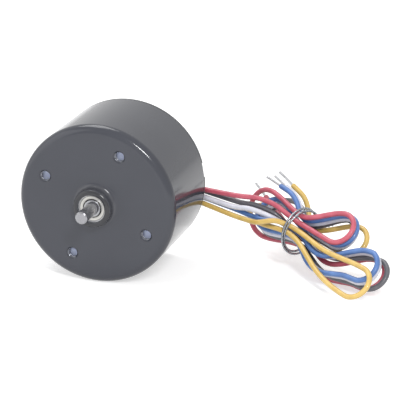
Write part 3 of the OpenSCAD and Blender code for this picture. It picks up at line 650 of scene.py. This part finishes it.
def slot_outline(w, h, spread=0.0, sides=48):
    """Outline of a slot with full round ends, centred, its length upright."""
    r, spots = w / 2 + spread, []
    for k in range(sides):
        a = 2 * math.pi * (k + 0.5) / sides
        spots.append((r * math.cos(a), r * math.sin(a) + math.copysign((h - w) / 2, math.sin(a))))
    return spots


def lofted(name, levels, made, sharp=30):
    """Piece whose slot outline changes along the shaft's direction, and closes at its two ends."""
    work = bmesh.new()
    rings = [[work.verts.new(Vector((window_x + x, y, window_z + z)) * mm)
              for x, z in slot_outline(window_w, window_h, spread)] for y, spread in levels]
    for one, two in zip(rings, rings[1:]):
        for k in range(len(one)):
            j = (k + 1) % len(one)
            work.faces.new((one[k], one[j], two[j], two[k]))
    work.faces.new(rings[0][::-1])
    work.faces.new(rings[-1])
    return as_piece(name, mesh_of(name, work), made, sharp)


cut_from, cut_to = 19, 28
cuts = [lofted("window", [(cut_from, 0), (cut_to, 0)], cover_black)]
notches, first_notch, notch_t, notch_w, notch_at, bite_w = 3, -9.5, 0.35, 4, 26.2, 2
for k in range(notches):
    turn = Matrix.Rotation(math.radians(first_notch + 360 / notches * k), 4, "Y")
    place = turn @ Matrix.Translation(Vector((can_r - notch_t + bite_w / 2, notch_at, 0)) * mm)
    bite = bmesh.new()
    bmesh.ops.create_cube(bite, size=mm)
    bmesh.ops.transform(bite, matrix=place @ Matrix.Diagonal((bite_w, bite_w, notch_w, 1)),
                        verts=bite.verts)
    cuts.append(as_piece("bite", mesh_of("bite", bite, False), cover_black))
bored(cover_plate, cuts)
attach(cover_plate, "housing")
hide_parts("back_cover")

# Grommet: black rubber, snapped into the cover's window, with a lip on each side of the plate.
# Each lead runs through a bore of its own.
rubber = finish("black rubber", sheen(40, 40, 42), rough=0.65)
matt = patches(rubber, 0.2, 4.0)
tones_of(rubber, matt, sheen(34, 34, 36), sheen(50, 50, 52))
gloss_of(rubber, matt, "Fac", 0.55, 0.75)
relief_of(rubber, matt, "Fac", 0.006)

# Each pair is a place along the shaft's direction, and how far the rubber spreads there past
# the window's outline.
grommet_levels = [(24.1, 0.3), (24.15, 0.42), (24.3, 0.5), (24.5, 0.5), (24.64, 0.42),
                  (24.68, 0.3), (24.69, -0.01), (26.51, -0.01), (26.52, 0.3), (26.56, 0.42),
                  (26.7, 0.5), (26.9, 0.5), (27.05, 0.42), (27.1, 0.3)]
grommet_body = lofted("grommet_body", grommet_levels, rubber, sharp=60)
row_step, pitch, lead_bore, bore_from, bore_to = 1.65, 1.9, 0.76, 23, 28
lead_spots = {"red": (1, -1), "black": (-1, -0.5), "white": (1, 0), "yellow": (1, 1),
              "blue": (-1, 0.5)}
bored(grommet_body, [drill(window_x + x * row_step / 2, window_z - z * pitch, lead_bore,
                           lead_bore, bore_from, bore_to, sides=32)
                     for x, z in lead_spots.values()], sharp=60)
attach(grommet_body, "housing")
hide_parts("grommet")

# Leads: five stranded wires in coloured silicone, folded into one hank and tied. Each runs
# in, round a loop, round one at the motor's side, round another, and out to its bare end.
lead_d, layer_pitch, run_pitch = 1.4, 1.75, 1.9
heading_of, dip_of, tilt = math.radians(-33), math.radians(8), math.radians(45)
tie_at = Vector((47, 27, -11))
along = Vector((math.cos(dip_of) * math.cos(heading_of),
                math.cos(dip_of) * math.sin(heading_of), -math.sin(dip_of)))
side = Vector((-math.sin(heading_of), math.cos(heading_of), 0))
up = along.cross(side)
across = math.cos(tilt) * side + math.sin(tilt) * up
square_to = math.cos(tilt) * up - math.sin(tilt) * side
near, far, fold = run_pitch / 2, 1.5 * run_pitch, 4.2


def in_hank(u, p):
    """Place in the hank: how far along it from the tie, and where across it."""
    return tie_at + u * along + p[0] * across + p[1] * square_to


def layer(k):
    """How far a layer of the hank lies from its middle one, the third."""
    return (3 - k) * layer_pitch


def lead_loop(reach, start, end, middle, half, dips=(0, 0), steps=8):
    """One loop of the hank: a run out, a half round fold and a run back."""
    start, end, middle, half = (Vector(v) for v in (start, end, middle, half))
    way, r = math.copysign(1, reach), half.length
    run = abs(reach) - r

    def on_run(t, foot, at_fold, dip):
        bend = Vector((dip * math.sin(math.pi * t) ** 2, 0))
        return in_hank(way * run * t, foot + (at_fold - foot) * t * t * (3 - 2 * t) + bend)

    path = [on_run(i / steps, start, middle + half, dips[0]) for i in range(1, steps + 1)]
    for a in (math.pi * i / steps for i in range(1, steps + 1)):
        path.append(in_hank(way * (run + r * math.sin(a)), middle + half * math.cos(a)))
    return path + [on_run(1 - i / steps, end, middle - half, dips[1])
                   for i in range(1, steps + 1)]


def smooth_way(spots, steps):
    """Smooth curve through spots, from the second to the last but one."""
    path = []
    for a, b, c, d in zip(spots, spots[1:], spots[2:], spots[3:]):
        for k in range(steps):
            t = k / steps
            path.append((2 * b + (c - a) * t + (2 * a - 5 * b + 4 * c - d) * t ** 2
                         + (3 * b - a - 3 * c + d) * t ** 3) / 2)
    return path + [spots[-2]]


lead_start, lead_exit, bend_r, bend_steps, second_row = 22.2, 27.1, 3.0, 4, 2.6


def lead_path(spot, way, loops, end):
    """Whole course of one lead, from the circuit board to its end."""
    x, z = window_x + spot[0] * row_step / 2, window_z - spot[1] * pitch
    y = lead_exit + lead_d + (0 if spot[0] > 0 else second_row)
    begin = [Vector((x, lead_start, z)), Vector((x, lead_exit, z))]
    for k in range(bend_steps + 1):
        a = math.pi / 2 * k / bend_steps
        begin.append(Vector((x + bend_r * (1 - math.cos(a)), y + bend_r * math.sin(a), z)))
    first, last = loops[0][1], loops[2][2]
    way_in = smooth_way(begin[-2:] + [in_hank(u, (p, q)) for u, p, q in way]
                        + [in_hank(0, first), in_hank(bend_r, first)], steps=3)
    spots = [in_hank(u, (p, q)) for u, p, q in end]
    way_out = smooth_way([in_hank(bend_r, last), in_hank(0, last)] + spots
                         + [2 * spots[3] - spots[2]], steps=3)
    path = begin[:-1] + way_in
    for one in loops:
        path += lead_loop(*one)
    return path + way_out[1:]


L1, L2, L3, L4, L5 = (layer(k) for k in range(1, 6))
# For each lead, its way into the hank, its three loops as lead_loop takes them, and its way out.
leads = {
    "red": ([(-17.5, -2.4, 9.2), (-12.5, 0.4, 7.1), (-8, 1.4, 5.6), (-4, 1.2, 4.4)],
            [(16.5, (near, L1), (far, L1), (5, L1), (-fold, 0)),
             (-19.5, (far, L1), (-far, L5), (-0.6, 0), (5.2, 3.5)),
             (28, (-far, L5), (-near, L5), (0, L5), (-fold, 0), (-3, -4.4))],
            [(-2.5, -0.9, -3.9), (-8, 0, -6), (-15, 2, -6.8), (-22, 4.3, -5.4)]),
    "black": ([(-17.5, -3.2, 7.2), (-12.5, -1.2, 5.8), (-8, -0.2, 3.1), (-4, -0.7, -0.1)],
              [(30, (-near, L4), (-far, L4), (0, L4), (fold, 0), (-3, -2.5)),
               (-14.5, (-far, L4), (near, L4), (-0.5, L4), (-4.3, 0)),
               (14, (near, L4), (far, L4), (5, L4), (-fold, 0))],
              [(-2.5, 3.5, -1.75), (-7, 6, -2.4), (-13, 6.6, -4.6), (-19, 5, -6.4)]),
    "white": ([(-17.5, -5.2, 8), (-12.5, -3.2, 7.2), (-8, -1.8, 4.7), (-4, -1.1, 2)],
              [(28, (-near, L3), (-far, L3), (0, L3), (fold, 0), (-4, -3)),
               (-14, (-far, L3), (near, L3), (-0.5, L3), (-4.3, 0)),
               (15.5, (near, L3), (far, L3), (5, L3), (-fold, 0))],
              [(-2.5, 3.5, 0), (-5.5, 5.6, 0), (-9, 7.4, 0.2), (-13, 8.2, 0.6)]),
    "yellow": ([(-17.5, -7.1, 6.8), (-12.5, -6.2, 6.5), (-8, -5.2, 6.8), (-4, -2.2, 5.9)],
               [(31, (-near, L1), (-far, L1), (-5, L1), (fold, 0), (-1, -1)),
                (-17.5, (-far, L1), (near, L5), (-0.3, 0), (-4.2, 3.5)),
                (17, (near, L5), (far, L5), (5.2, L5), (-fold, 0))],
               [(-2.5, 3.6, -3.6), (-5.5, 6.3, -4.2), (-9, 8.9, -3.2), (-13, 9.8, -1)]),
    "blue": ([(-17.5, -5, 5.9), (-12.5, -4.3, 5.3), (-8, -3.6, 5.5), (-4, -1.4, 4)],
             [(28.5, (-near, L2), (-far, L2), (0, L2), (fold, 0), (-4.6, -3.6)),
              (-14.5, (-far, L2), (near, L2), (-0.3, L2), (-4.4, 0)),
              (16.5, (near, L2), (far, L2), (5.2, L2), (-fold, 0))],
             [(-2.5, 3.5, 1.75), (-5.5, 5.6, 1.75), (-9, 7, 2), (-13, 7.2, 2.6)]),
}
lead_colours = {
    "red": ((180, 78, 96), (200, 98, 114)), "black": ((84, 84, 90), (100, 100, 106)),
    "white": ((204, 205, 216), (222, 223, 234)), "yellow": ((204, 170, 92), (222, 190, 112)),
    "blue": ((74, 110, 170), (94, 130, 190))}


def twisted_strands():
    """Geometry Nodes tree that lays thin strands round a middle one, twisted along a path."""
    tree, sockets = shape_tree("twisted strands", (
        ("Path", "Geometry"), ("Strands", "Int"), ("Strand size", "Float"), ("Lay", "Float"),
        ("Finish", "Material")), "Bundle")
    new = tree.nodes.new
    given, made = new("NodeGroupInput"), new("NodeGroupOutput")
    line, tilt_of = new("GeometryNodeMeshToCurve"), new("GeometryNodeSetCurveTilt")
    place, circle = new("GeometryNodeSplineParameter"), new("GeometryNodeMeshCircle")
    turns, angle, half = new("ShaderNodeMath"), new("ShaderNodeMath"), new("ShaderNodeMath")
    spots, core = new("GeometryNodeInstanceOnPoints"), new("GeometryNodeCurvePrimitiveCircle")
    both, sweep = new("GeometryNodeJoinGeometry"), new("GeometryNodeCurveToMesh")
    real, solid = new("GeometryNodeRealizeInstances"), new("GeometryNodeRealizeInstances")
    coat = new("GeometryNodeSetMaterial")
    turns.operation, angle.operation, half.operation = "DIVIDE", "MULTIPLY", "MULTIPLY"
    angle.inputs[1].default_value = 2 * math.pi
    half.inputs[1].default_value = 0.5
    core.inputs["Resolution"].default_value = 8
    sweep.inputs["Fill Caps"].default_value = True
    for a, b in (
            (given.outputs["Path"], line.inputs["Mesh"]),
            (line.outputs[0], tilt_of.inputs["Curve"]),
            (place.outputs["Length"], turns.inputs[0]), (given.outputs["Lay"], turns.inputs[1]),
            (turns.outputs[0], angle.inputs[0]), (angle.outputs[0], tilt_of.inputs["Tilt"]),
            (given.outputs["Strand size"], half.inputs[0]),
            (half.outputs[0], core.inputs["Radius"]),
            (given.outputs["Strands"], circle.inputs["Vertices"]),
            (given.outputs["Strand size"], circle.inputs["Radius"]),
            (circle.outputs[0], spots.inputs["Points"]),
            (core.outputs[0], spots.inputs["Instance"]),
            (spots.outputs[0], both.inputs[0]), (core.outputs[0], both.inputs[0]),
            (both.outputs[0], real.inputs[0]), (tilt_of.outputs[0], sweep.inputs["Curve"]),
            (real.outputs[0], sweep.inputs["Profile Curve"]), (sweep.outputs[0], solid.inputs[0]),
            (solid.outputs[0], coat.inputs["Geometry"]),
            (given.outputs["Finish"], coat.inputs["Material"]), (coat.outputs[0], made.inputs[0])):
        tree.links.new(a, b)
    return tree, sockets


strand_tree, strand_sockets = twisted_strands()
tinned = finish("tinned copper", sheen(201, 201, 203), metal=1.0, rough=0.4)
wetted = patches(tinned, 0.3)
tones_of(tinned, wetted, sheen(190, 190, 192), sheen(212, 212, 214))
gloss_of(tinned, wetted, "Fac", 0.32, 0.5)
relief_of(tinned, wetted, "Fac", 0.008)

bare_len, bare_in, bare_steps, bare_sag, sag_turn = 5.25, 0.25, 14, 0.12, 2.4
strand_count, strand_d, strand_lay = 6, 0.25, 7
drawn_leads = []
for name, (way, loops, end) in leads.items():
    low, high = lead_colours[name]
    silicone = finish(name + " silicone", sheen(*high), rough=0.36, Coat_Weight=0.15)
    draw_lines = step(silicone, "Mapping", {"Vector": (step(silicone, "TexCoord", {}), "UV"),
                                            "Scale": (4.0, 30.0, 1.0)})
    drawn = step(silicone, "TexNoise", {"Vector": (draw_lines, "Vector"), "Scale": 1.0,
                                        "Detail": 3.0})
    cloud = patches(silicone, 2.5)
    tones_of(silicone, cloud, sheen(*low), sheen(*high))
    gloss_of(silicone, cloud, "Fac", 0.3, 0.44)
    relief_of(silicone, drawn, "Fac", 0.006)

    route = lead_path(lead_spots[name], way, loops, end)
    fine = smooth_way([2 * route[0] - route[1]] + route + [2 * route[-1] - route[-2]], steps=4)
    length = sum((b - a).length for a, b in zip(fine, fine[1:]))
    lead = swept(name + "_insulation", fine, lead_d / 2, silicone, sides=16, ends=0.06)
    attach(lead, "housing")
    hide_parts("lead_" + name)

    tip, out = fine[-1], (fine[-1] - fine[-2]).normalized()
    spots = [tip + out * (bare_len * i / bare_steps - bare_in)
             + Vector((0, 0, bare_sag)) * math.sin(i / bare_steps * sag_turn)
             for i in range(bare_steps + 1)]
    bare = bpy.data.meshes.new(name + "_strands")
    bare.from_pydata([p * mm for p in spots], [(i, i + 1) for i in range(bare_steps)], [])
    strands = placed(name + "_strands", bare)
    tool = strands.modifiers.new("strands", "NODES")
    tool.node_group = strand_tree
    for key, value in (("Strands", strand_count), ("Strand size", strand_d * mm),
                       ("Lay", strand_lay * mm), ("Finish", tinned)):
        tool[strand_sockets[key]] = value
    smooth(settled(strands), sharp=50)
    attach(strands, "housing")
    drawn_leads.append((lead, fine, length, strands))
for lead, fine, length, strands in drawn_leads:
    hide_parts("tinned_ends")

# Tie: two turns of soft bright wire round the hank, which cross once. The wire's ends are
# twisted together behind it.
tie_wire = finish("tie wire", sheen(150, 153, 158), metal=1.0, rough=0.2)
kinks = patches(tie_wire, 0.5)
tones_of(tie_wire, kinks, sheen(120, 123, 128), sheen(172, 175, 180))
gloss_of(tie_wire, kinks, "Fac", 0.18, 0.34)
relief_of(tie_wire, kinks, "Fac", 0.01)
tie_r, tie_from, tie_shift, cross_lift = 5.9, math.radians(-45), 0.65, 0.7
tie_wire_r, tie_steps, tie_gap = 0.3, 72, 6
tail_lay, tail_bend, tail_len, tail_turns, tail_steps, foot_steps = 0.34, 0.9, 4.0, 1.5, 24, 8


def on_tie(aside, r, u):
    """Place near the tie's tail: aside of it, out from the hank's middle, and along the hank."""
    a = tie_from + aside / tie_r
    return in_hank(u, (r * math.cos(a), r * math.sin(a)))


def tail_end(hand):
    """One of the two wires of the tail, from its tip to the foot of the turns."""
    wire = []
    for t in (i / tail_steps for i in range(tail_steps, 0, -1)):
        a = 2 * math.pi * tail_turns * t
        wire.append(on_tie(hand * tail_lay * math.cos(a), tie_r + tail_bend + tail_len * t,
                           tie_shift + hand * tail_lay * math.sin(a)))
    for a in (math.pi / 2 * k / foot_steps for k in range(foot_steps + 1)):
        wire.append(on_tie(hand * (tail_lay + tail_bend * (1 - math.cos(a))),
                           tie_r + tail_bend * (1 - math.sin(a)), tie_shift))
    return wire


turns = []
for i in range(tie_gap, 2 * tie_steps - tie_gap + 1):
    a = 2 * math.pi * i / tie_steps
    r = tie_r + (cross_lift if i > tie_steps else 0) * (1 - math.cos(a)) / 2
    turns.append(in_hank(tie_shift * math.cos(a / 2),
                         (r * math.cos(a + tie_from), r * math.sin(a + tie_from))))
tie = swept("hank_tie", tail_end(1) + turns + tail_end(-1)[::-1], tie_wire_r, tie_wire, ends=0.08)
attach(tie, "housing")
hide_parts("wire_tie")

# Camera: where the photograph was taken from. Its turn, height, distance and lens were fitted
# to the can's outline and front edge.
turn_of, rise = math.radians(17.564), math.radians(19.011)
to_right, to_above, to_back, lens_mm = 26.583, 1.463, 486.459, 172.77
back = Vector((math.sin(turn_of) * math.cos(rise), -math.cos(turn_of) * math.cos(rise),
               math.sin(rise)))
right = Vector((math.cos(turn_of), math.sin(turn_of), 0))
above = back.cross(right)
lens = bpy.data.cameras.new("camera")
lens.sensor_width, lens.lens = 36.0, lens_mm
lens.clip_start, lens.clip_end = 0.01, 50.0
camera = placed("camera", lens)
stands_at = Matrix.Translation((to_right * right + to_above * above + to_back * back) * mm)
camera.matrix_world = stands_at @ Matrix((right, above, back)).transposed().to_4x4()
bpy.context.scene.camera = camera

# Stage: a plain white floor under the motor, with the room white all round. The camera and
# mirrors see both brighter than the light that they throw on the motor.
floor_z, floor_half = -21.0, 3
floor_mesh = bpy.data.meshes.new("floor")
floor_mesh.from_pydata([(x * floor_half, y * floor_half, floor_z * mm)
                        for x, y in ((-1, -1), (1, -1), (1, 1), (-1, 1))], [], [(0, 1, 2, 3)])
floor = placed("floor", floor_mesh)


def seen_white(made):
    """Step that is 1 for what the camera, mirrors and glass see, and 0 for light on pieces."""
    path = step(made, "LightPath", {})
    first = step(made, "Math", {0: (path, "Is Camera Ray"), 1: (path, "Is Glossy Ray")},
                 operation="MAXIMUM")
    return step(made, "Math", {0: (first, 0), 1: (path, "Is Transmission Ray")},
                operation="MAXIMUM")


paper = finish("white ground", (0.8, 0.8, 0.8, 1), rough=0.9, Specular_IOR_Level=0.0)
paper_nodes = paper.node_tree.nodes
glow_level = step(paper, "Math", {0: (seen_white(paper), 0), 1: 0.5}, operation="MULTIPLY")
glow = step(paper, "Emission", {"Color": (1, 1, 1, 1), "Strength": (glow_level, 0)})
both = step(paper, "AddShader", {0: (paper_nodes["Principled BSDF"], "BSDF"), 1: (glow, 0)})
paper.node_tree.links.new(both.outputs[0], paper_nodes["Material Output"].inputs["Surface"])
floor_mesh.materials.append(paper)

room = bpy.data.worlds.new("room")
room.use_nodes = True
bpy.context.scene.world = room
air = room.node_tree.nodes["Background"]
air.inputs["Color"].default_value = (1, 1, 1, 1)
level = step(room, "MapRange", {"Value": (seen_white(room), 0), "To Min": 0.45, "To Max": 1.0})
room.node_tree.links.new(level.outputs[0], air.inputs["Strength"])

lit_spot = Vector((0.015, 0.01, -0.005))
# Each lamp has its place, width and height in metres, its roll in degrees and its power in watts.
for name, place, wide, high, roll, power in (
        ("key", (0.42, -0.62, 0.62), 0.26, 0.07, -50, 4.0),
        ("fill", (0.10, -0.90, 0.24), 0.40, 0.40, 0, 2.6),
        ("top", (-0.25, 0.25, 0.85), 0.50, 0.50, 0, 3.5),
        ("left", (-0.75, -0.45, 0.30), 0.90, 0.90, 0, 2.0)):
    lamp = bpy.data.lights.new(name, "AREA")
    lamp.shape, lamp.size, lamp.size_y, lamp.energy = "RECTANGLE", wide, high, power
    holder = placed(name, lamp)
    holder.visible_glossy = name != "fill"
    aim = (lit_spot - Vector(place)).to_track_quat("-Z", "Y").to_matrix().to_4x4()
    rolled = Matrix.Rotation(math.radians(roll), 4, "Z")
    holder.matrix_world = Matrix.Translation(Vector(place)) @ aim @ rolled

bpy.context.scene.view_settings.view_transform = "Standard"
